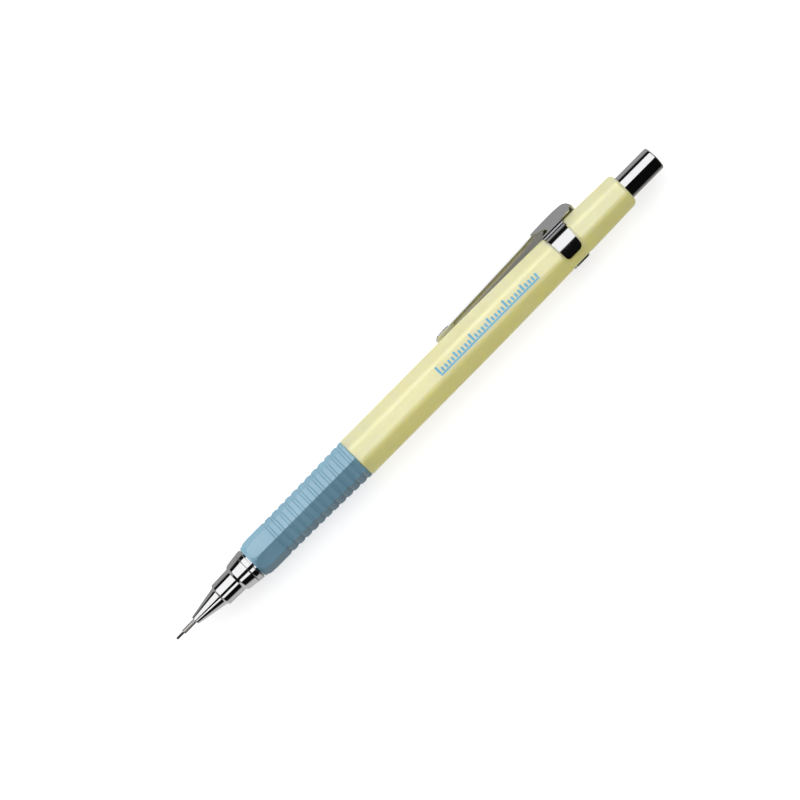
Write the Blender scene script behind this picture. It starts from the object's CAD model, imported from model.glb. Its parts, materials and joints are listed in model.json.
import bmesh
import bpy
import json
import math
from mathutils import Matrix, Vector

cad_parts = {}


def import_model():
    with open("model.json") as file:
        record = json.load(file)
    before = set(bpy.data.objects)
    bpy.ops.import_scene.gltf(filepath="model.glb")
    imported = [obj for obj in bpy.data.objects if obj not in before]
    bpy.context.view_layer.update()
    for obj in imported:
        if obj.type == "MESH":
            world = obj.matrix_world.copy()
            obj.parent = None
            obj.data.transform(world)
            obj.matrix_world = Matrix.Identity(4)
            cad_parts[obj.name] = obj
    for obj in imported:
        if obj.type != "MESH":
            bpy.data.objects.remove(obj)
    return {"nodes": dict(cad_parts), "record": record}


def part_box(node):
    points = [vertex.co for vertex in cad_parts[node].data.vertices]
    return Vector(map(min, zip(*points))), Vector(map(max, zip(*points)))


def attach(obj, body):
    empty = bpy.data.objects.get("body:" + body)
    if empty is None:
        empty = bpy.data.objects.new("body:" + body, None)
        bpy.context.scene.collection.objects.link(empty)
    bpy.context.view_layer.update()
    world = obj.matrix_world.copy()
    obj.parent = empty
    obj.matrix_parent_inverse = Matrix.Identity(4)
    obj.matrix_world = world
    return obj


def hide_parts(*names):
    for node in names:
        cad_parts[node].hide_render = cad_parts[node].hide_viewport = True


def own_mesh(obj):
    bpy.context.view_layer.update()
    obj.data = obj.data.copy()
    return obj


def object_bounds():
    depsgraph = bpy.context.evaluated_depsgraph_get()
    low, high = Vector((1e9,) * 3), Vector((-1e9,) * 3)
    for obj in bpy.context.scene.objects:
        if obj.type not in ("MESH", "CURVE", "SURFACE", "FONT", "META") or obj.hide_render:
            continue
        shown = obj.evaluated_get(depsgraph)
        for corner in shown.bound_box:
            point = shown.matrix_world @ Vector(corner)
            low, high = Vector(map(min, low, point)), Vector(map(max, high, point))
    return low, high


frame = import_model()
cad_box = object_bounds()

MM = 0.001
NODES = frame["nodes"]


def station(length_mm):
    """X in metres of a place given in millimetres behind the lead's point."""
    return cad_box[0][0] + length_mm * MM


def axis_centre():
    """Y and Z in metres of the pencil's axis, taken from the cap, which is turned about it."""
    low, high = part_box("cap")
    return (low.y + high.y) / 2, (low.z + high.z) / 2


AXIS_Y, AXIS_Z = axis_centre()


# --- Materials -----------------------------------------------------------------------------------
class Look:
    """One node material: a Principled BSDF and the nodes that feed it."""

    def __init__(self, name, **sockets):
        self.material = bpy.data.materials.new(name)
        self.material.use_nodes = True
        self.tree = self.material.node_tree
        self.shader = self.tree.nodes["Principled BSDF"]
        self.place = self.node("ShaderNodeTexCoord").outputs["Object"]
        for key, value in sockets.items():
            self.shader.inputs[key.replace("_", " ")].default_value = value

    def node(self, kind, inputs=None, **settings):
        made = self.tree.nodes.new(kind)
        for key, value in settings.items():
            setattr(made, key, value)
        for key, value in (inputs or {}).items():
            if isinstance(value, bpy.types.NodeSocket):
                self.tree.links.new(value, made.inputs[key])
            else:
                made.inputs[key].default_value = value
        return made

    def stretched(self, along, across):
        """Object coordinates scaled differently along the pencil and across it."""
        inputs = {"Vector": self.place, "Scale": (along, across, across)}
        return self.node("ShaderNodeMapping", inputs).outputs[0]

    def noise(self, scale, detail=3.0, roughness=0.5, vector=None):
        inputs = {"Vector": vector or self.place, "Scale": scale, "Detail": detail, "Roughness": roughness}
        return self.node("ShaderNodeTexNoise", inputs).outputs["Fac"]

    def ramp(self, fac, low, high):
        """Maps 0.3 to 0.7, the span that a noise mostly keeps to, to low..high."""
        inputs = {"Value": fac, "From Min": 0.3, "From Max": 0.7, "To Min": low, "To Max": high}
        return self.node("ShaderNodeMapRange", inputs).outputs["Result"]

    def blend(self, fac, first, second):
        """Mixes two colours."""
        mix = self.node("ShaderNodeMix", data_type="RGBA")
        self.feed(mix.inputs[0], fac)
        self.feed(mix.inputs[6], first)
        self.feed(mix.inputs[7], second)
        return mix.outputs[2]

    def feed(self, socket, value):
        if isinstance(value, bpy.types.NodeSocket):
            self.tree.links.new(value, socket)
        else:
            socket.default_value = value

    def drive(self, key, output):
        self.tree.links.new(output, self.shader.inputs[key])

    def bump(self, height, strength, distance):
        made = self.node("ShaderNodeBump", {"Height": height, "Strength": strength, "Distance": distance})
        self.drive("Normal", made.outputs[0])


def moulded(name, deep, pale, roughness, grain, **sockets):
    """Moulded plastic: faintly cloudy colour, satin surface with a fine grain and a few rubbed streaks."""
    look = Look(name, **sockets)
    cloud = look.ramp(look.noise(160.0, 5.0), 0.0, 1.0)
    look.drive("Base Color", look.blend(cloud, deep, pale))
    rubbed = look.ramp(look.noise(1.0, 3.0, vector=look.stretched(120.0, 1400.0)), -0.04, 0.04)
    mottled = look.ramp(look.noise(900.0, 2.0), roughness - 0.03, roughness + 0.03)
    worn = look.node("ShaderNodeMath", {0: rubbed, 1: mottled}, operation="ADD")
    look.drive("Roughness", worn.outputs[0])
    look.bump(look.noise(grain, 2.0), 0.22, 0.00001)
    return look.material


def metal(name, colour, roughness, rings=0.04, hairlines=0.0, **sockets):
    """Turned or plated metal: fine rings about the axis, hairline scratches along it and faint smudges."""
    look = Look(name, Metallic=1.0, **sockets)
    smudge = look.noise(300.0, 3.0)
    dull = tuple(0.93 * c for c in colour[:3]) + (1.0,)
    look.drive("Base Color", look.blend(smudge, colour, dull))
    turned = look.noise(1.0, 2.0, vector=look.stretched(9000.0, 60.0))
    scratch = look.noise(1.0, 4.0, vector=look.stretched(250.0, 9000.0))
    spread = look.node("ShaderNodeMath", {0: look.ramp(smudge, roughness, roughness * 1.6),
                                          1: look.ramp(scratch, 0.0, hairlines)}, operation="ADD")
    look.drive("Roughness", spread.outputs[0])
    look.bump(turned, rings, 0.00001)
    return look.material


def materials():
    return {
        "barrel_plastic": moulded(
            "cream_plastic", (0.80, 0.745, 0.39, 1), (0.82, 0.775, 0.45, 1), 0.50, 5000.0,
            Subsurface_Weight=0.7, Subsurface_Radius=(1.0, 0.9, 0.15), Subsurface_Scale=0.004,
            IOR=1.95, Specular_IOR_Level=0.85, Coat_Weight=1.0, Coat_Roughness=0.75),
        "grip_plastic": moulded(
            "blue_plastic", (0.135, 0.305, 0.415, 1), (0.165, 0.345, 0.455, 1), 0.40, 4000.0,
            IOR=1.6, Specular_IOR_Level=0.65, Coat_Weight=0.55, Coat_Roughness=0.42),
        "chrome": metal("chrome_plate", (0.80, 0.80, 0.81, 1), 0.05, 0.05, 0.01),
        "clip_chrome": metal("clip_plate", (0.79, 0.79, 0.80, 1), 0.07, 0.0, 0.03),
        "steel": metal("drawn_steel", (0.60, 0.58, 0.56, 1), 0.20, 0.02, 0.08),
        "graphite": moulded("graphite", (0.045, 0.045, 0.05, 1), (0.08, 0.08, 0.09, 1), 0.38, 6000.0),
        "seal_rubber": moulded("black_rubber", (0.02, 0.02, 0.02, 1), (0.03, 0.03, 0.03, 1), 0.6, 6000.0),
        "brass": metal("turned_brass", (0.76, 0.56, 0.22, 1), 0.18, 0.15, 0.04),
        "spring_steel": metal("spring_wire", (0.50, 0.50, 0.51, 1), 0.24, 0.0, 0.10),
        "inner_plastic": moulded(
            "milky_plastic", (0.72, 0.72, 0.69, 1), (0.78, 0.78, 0.76, 1), 0.40, 5000.0,
            Subsurface_Weight=0.3, Subsurface_Radius=(1.0, 1.0, 1.0), Subsurface_Scale=0.001),
        "eraser_rubber": moulded(
            "white_eraser", (0.80, 0.80, 0.78, 1), (0.87, 0.87, 0.85, 1), 0.75, 2500.0),
        "aluminium": metal("drawn_aluminium", (0.80, 0.81, 0.82, 1), 0.26, 0.10, 0.06),
    }


def dress(looks):
    """Gives each of the frame's nodes the material of its slot in the record."""
    for subpart in frame["record"]["subparts"]:
        data = NODES[subpart["node"]].data
        data.materials.clear()
        data.materials.append(looks[subpart["material_slot"]])


# --- Pieces --------------------------------------------------------------------------------------
def add_piece(name, bm, look, body):
    """Makes an object of the mesh, riding on that body and listed under that material slot."""
    data = bpy.data.meshes.new(name)
    bmesh.ops.recalc_face_normals(bm, faces=bm.faces)
    bm.to_mesh(data)
    bm.free()
    data.materials.append(look)
    piece = bpy.data.objects.new(name, data)
    bpy.context.collection.objects.link(piece)
    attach(piece, body)
    return piece


# The printed scale. Lengths are in millimetres, and clock angles in degrees: 0 is up, 90 is +Y.
SCALE_CLOCK = 6.0             # the barrel's facet that carries it
SCALE_START = 79.6            # station of its first tick
SCALE_TICKS = 30
TICK_WIDTH = 0.5
BASE_LINE = (-1.15, -0.77)    # low and high edge across the facet
TICK_FOOT = -0.69
TICK_TOPS = {10: 1.22, 5: 0.85, 1: 0.35}   # every tenth tick, every fifth, and the rest
INK_CORNER = 0.12
INK_STEP = 2.0                # longest straight run of a bar on the curved part of the facet
INK_RISE = 0.012
INK_ROOT = -0.02
BARREL_HALF_FLAT = 4.83
BARREL_STRAIGHT_END = 80.0    # behind this station the flats curve inwards
BARREL_SAG_R = 1960.0


def facet_point(station_mm, across_mm, rise_mm):
    """A point on the scale's facet: along the pencil, across the facet and above it."""
    behind = max(0.0, station_mm - BARREL_STRAIGHT_END)
    out = BARREL_HALF_FLAT - behind ** 2 / (2 * BARREL_SAG_R) + rise_mm
    clock = math.radians(SCALE_CLOCK)
    y = out * math.sin(clock) + across_mm * math.cos(clock)
    z = out * math.cos(clock) - across_mm * math.sin(clock)
    return Vector((station(station_mm), AXIS_Y + y * MM, AXIS_Z + z * MM))


def ink_bar(bm, start, end, low, high):
    """A thin printed bar with cut corners, in steps that follow the facet's curve."""
    corner = min(INK_CORNER, (end - start) / 3, (high - low) / 3)
    steps = max(1, round((end - start) / INK_STEP))
    stops = [start + (end - start) * k / steps for k in range(steps + 1)]
    stops = sorted(set(stops + [start + corner, end - corner]))
    rings = []
    for stop in stops:
        pull = corner if stop in (start, end) else 0.0
        near, far = low + pull, high - pull
        sides = [(near, INK_ROOT), (near, INK_RISE), (far, INK_RISE), (far, INK_ROOT)]
        rings.append([bm.verts.new(facet_point(stop, across, rise)) for across, rise in sides])
    for one, two in zip(rings, rings[1:]):
        for k in range(4):
            bm.faces.new((one[k], one[(k + 1) % 4], two[(k + 1) % 4], two[k]))
    bm.faces.new(rings[0])
    bm.faces.new(rings[-1])


def printed_scale(look):
    """Plain millimetre scale along the barrel: a base line and ticks, taller every fifth and tenth."""
    bm = bmesh.new()
    ink_bar(bm, SCALE_START, SCALE_START + SCALE_TICKS - 1 + TICK_WIDTH, *BASE_LINE)
    for k in range(SCALE_TICKS):
        top = next(top for every, top in TICK_TOPS.items() if k % every == 0)
        ink_bar(bm, SCALE_START + k, SCALE_START + k + TICK_WIDTH, TICK_FOOT, top)
    return add_piece("printed_scale", bm, look, "body")


WIRE_R = 0.20 * MM
SPRING_TURNS = 8.0
CLOSED_TURNS = 1.0            # at each end
CLOSED_PITCH = 2.1 * WIRE_R
STEPS_PER_TURN = 40
WIRE_SIDES = 12


def coil_spring(look):
    """The return spring, with its end coils closed up, standing in for the node's plainer helix."""
    low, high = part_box("return_spring")
    mean_r = (high.z - low.z) / 2 - WIRE_R
    length = high.x - low.x - 2 * WIRE_R
    open_pitch = (length - 2 * CLOSED_TURNS * CLOSED_PITCH) / (SPRING_TURNS - 2 * CLOSED_TURNS)
    bm = bmesh.new()
    rings = []
    for step in range(int(SPRING_TURNS * STEPS_PER_TURN) + 1):
        turn = step / STEPS_PER_TURN
        closed = min(turn, CLOSED_TURNS) + max(0.0, turn - (SPRING_TURNS - CLOSED_TURNS))
        x = low.x + WIRE_R + closed * CLOSED_PITCH + (turn - closed) * open_pitch
        angle = 2 * math.pi * turn
        out = Vector((0.0, math.sin(angle), math.cos(angle)))
        middle = Vector((x, AXIS_Y, AXIS_Z)) + out * mean_r
        ring = []
        for side in range(WIRE_SIDES):
            swing = 2 * math.pi * side / WIRE_SIDES
            offset = out * math.cos(swing) + Vector((math.sin(swing), 0.0, 0.0))
            ring.append(bm.verts.new(middle + offset * WIRE_R))
        rings.append(ring)
    for one, two in zip(rings, rings[1:]):
        for k in range(WIRE_SIDES):
            after = (k + 1) % WIRE_SIDES
            bm.faces.new((one[k], one[after], two[after], two[k])).smooth = True
    bm.faces.new(rings[0])
    bm.faces.new(rings[-1])
    piece = add_piece("coil_spring", bm, look, "body")
    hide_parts("return_spring")
    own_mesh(piece)
    return piece


# --- Stage, lights and camera ---------------------------------------------------------------------
FLOOR_HALF = 6.0              # metres
FLOOR_GLOW = 0.74             # the paper's own light, which keeps the shadow faint


def stage():
    """A pale paper floor. Reflections don't meet it: they meet the world's rings instead."""
    bm = bmesh.new()
    bmesh.ops.create_grid(bm, x_segments=1, y_segments=1, size=FLOOR_HALF)
    data = bpy.data.meshes.new("floor")
    bm.to_mesh(data)
    bm.free()
    floor = bpy.data.objects.new("floor", data)
    bpy.context.collection.objects.link(floor)
    look = Look("floor_paper", Roughness=0.9)
    tone = look.noise(3.0)
    look.drive("Base Color", look.blend(tone, (0.47, 0.47, 0.47, 1), (0.49, 0.49, 0.49, 1)))
    look.shader.inputs["Emission Color"].default_value = (1.0, 1.0, 1.0, 1.0)
    look.shader.inputs["Emission Strength"].default_value = FLOOR_GLOW
    data.materials.append(look.material)
    floor.visible_glossy = False
    return floor


def softbox(name, clock_deg, distance, width, length, radiance, colour=(1, 1, 1), x=0.0):
    """A one-sided area light, parallel to the pencil, that faces it from that clock angle."""
    light = bpy.data.lights.new(name, "AREA")
    light.shape = "RECTANGLE"
    light.size, light.size_y = length, width
    light.energy = radiance * math.pi * width * length
    light.color = colour
    lamp = bpy.data.objects.new(name, light)
    angle = math.radians(clock_deg)
    lamp.location = (x, AXIS_Y + distance * math.sin(angle), AXIS_Z + distance * math.cos(angle))
    lamp.rotation_euler = (-angle, 0.0, 0.0)
    lamp.visible_camera = False
    bpy.context.collection.objects.link(lamp)
    return lamp


def only_on(lamp, *lit):
    """Keeps a lamp's light off everything but those objects."""
    group = bpy.data.collections.new(lamp.name + "_on")
    for obj in lit:
        group.objects.link(obj)
    lamp.light_linking.receiver_collection = group
    return lamp


DARK = (0.004, 0.004, 0.004)
PALE = (0.36, 0.36, 0.36)
# What a reflection meets at each clock angle about the pencil, where 0 is up and 90 is +Y.
REAR_RING = [
    (-180, (0.27, 0.26, 0.23)), (-124, (0.27, 0.26, 0.23)), (-112, (0.09, 0.09, 0.09)),
    (-104, DARK), (88, DARK), (97, PALE), (180, PALE),
]
# The same beyond the pencil's point, where a white card stands low on the -Y side.
NOSE_RING = [
    (-180, (0.6, 0.6, 0.6)), (-95, (0.6, 0.6, 0.6)), (-83, DARK), (88, DARK), (97, PALE), (180, PALE),
]


REFLECTED_SPLIT = (-0.12, -0.05)   # X of the direction at which the nose's ring gives way to the rear one
PAPER = 0.97
UNSEEN = 0.02                      # what every other ray meets


def world():
    """Camera rays meet near-white paper, and reflections a dark studio, pale low on both sides."""
    made = bpy.data.worlds.new("studio")
    made.use_nodes = True
    tree = made.node_tree
    node, link = tree.nodes.new, tree.links.new
    path = node("ShaderNodeLightPath")
    axes = node("ShaderNodeSeparateXYZ")
    link(node("ShaderNodeTexCoord").outputs["Generated"], axes.inputs[0])
    clock = node("ShaderNodeMath")
    clock.operation = "ARCTAN2"
    link(axes.outputs["Y"], clock.inputs[0])
    link(axes.outputs["Z"], clock.inputs[1])

    def spread(value, low, high):
        made = node("ShaderNodeMapRange")
        link(value, made.inputs["Value"])
        made.inputs["From Min"].default_value, made.inputs["From Max"].default_value = low, high
        return made.outputs[0]

    around = spread(clock.outputs[0], -math.pi, math.pi)

    def ring(table):
        ramp = node("ShaderNodeValToRGB")
        link(around, ramp.inputs[0])
        stops = ramp.color_ramp.elements
        while len(stops) < len(table):
            stops.new(0.5)
        for element, (clock_deg, tone) in zip(stops, table):
            element.position = (clock_deg + 180) / 360
            element.color = tone + (1,)
        return ramp.outputs["Color"]

    def mix(fac, off, on):
        made = node("ShaderNodeMix")
        made.data_type = "RGBA"
        link(fac, made.inputs[0])
        for socket, value in ((made.inputs[6], off), (made.inputs[7], on)):
            if isinstance(value, bpy.types.NodeSocket):
                link(value, socket)
            else:
                socket.default_value = (value, value, value, 1)
        return made.outputs[2]

    reflected = mix(spread(axes.outputs["X"], *REFLECTED_SPLIT), ring(NOSE_RING), ring(REAR_RING))
    unseen = mix(path.outputs["Is Glossy Ray"], UNSEEN, reflected)
    seen = mix(path.outputs["Is Camera Ray"], unseen, PAPER)
    link(seen, tree.nodes["Background"].inputs["Color"])
    bpy.context.scene.world = made


VIEW_TURN = math.radians(-45.23)
VIEW_CENTRE = (-2.77 * MM, AXIS_Y + 2.12 * MM)
VIEW_WIDTH = 170.81 * MM
VIEW_LENS = 150.0             # millimetres, as is the sensor
SENSOR = 36.0


def camera():
    """Looks straight down, from so high that VIEW_WIDTH at the axis fills the picture."""
    data = bpy.data.cameras.new("camera")
    data.lens, data.sensor_width = VIEW_LENS, SENSOR
    data.clip_start = 0.01
    eye = bpy.data.objects.new("camera", data)
    height = AXIS_Z + VIEW_WIDTH * VIEW_LENS / SENSOR
    eye.location = (VIEW_CENTRE[0], VIEW_CENTRE[1], height)
    eye.rotation_euler = (0.0, 0.0, VIEW_TURN)
    bpy.context.collection.objects.link(eye)
    bpy.context.scene.camera = eye


NOSE_STREAK_AHEAD = 0.158     # metres ahead of the lead's point


def lamps(floor, scale):
    """A key over everything, a streak on the nose, and lamps that reach only the plastics."""
    barrel, grip = NODES["barrel"], NODES["grip"]
    softbox("key", clock_deg=33.5, distance=0.60, width=0.68, length=2.0, radiance=1.15)
    plastics = softbox("key_on_plastic", clock_deg=38.0, distance=0.66, width=0.75, length=2.2,
                       radiance=0.88)
    only_on(plastics, barrel, grip, scale, floor)
    softbox("nose_streak", clock_deg=-32.0, distance=0.50, width=0.17, length=0.34, radiance=1.15,
            x=station(0) - NOSE_STREAK_AHEAD)
    shade = softbox("shade_fill", clock_deg=-50.0, distance=0.60, width=0.50, length=1.2, radiance=0.90,
                    colour=(1.0, 0.93, 0.04))
    only_on(shade, barrel).visible_glossy = False
    side = softbox("grip_side", clock_deg=78.0, distance=0.60, width=0.50, length=1.2, radiance=1.7,
                   colour=(1.0, 0.84, 0.77))
    only_on(side, grip).visible_glossy = False


looks = materials()
dress(looks)
scale = printed_scale(moulded("print_ink", (0.13, 0.47, 0.70, 1), (0.17, 0.52, 0.74, 1), 0.35, 4000.0))
coil_spring(looks["spring_steel"])
floor = stage()
world()
camera()
lamps(floor, scale)
bpy.context.scene.view_settings.view_transform = "Standard"
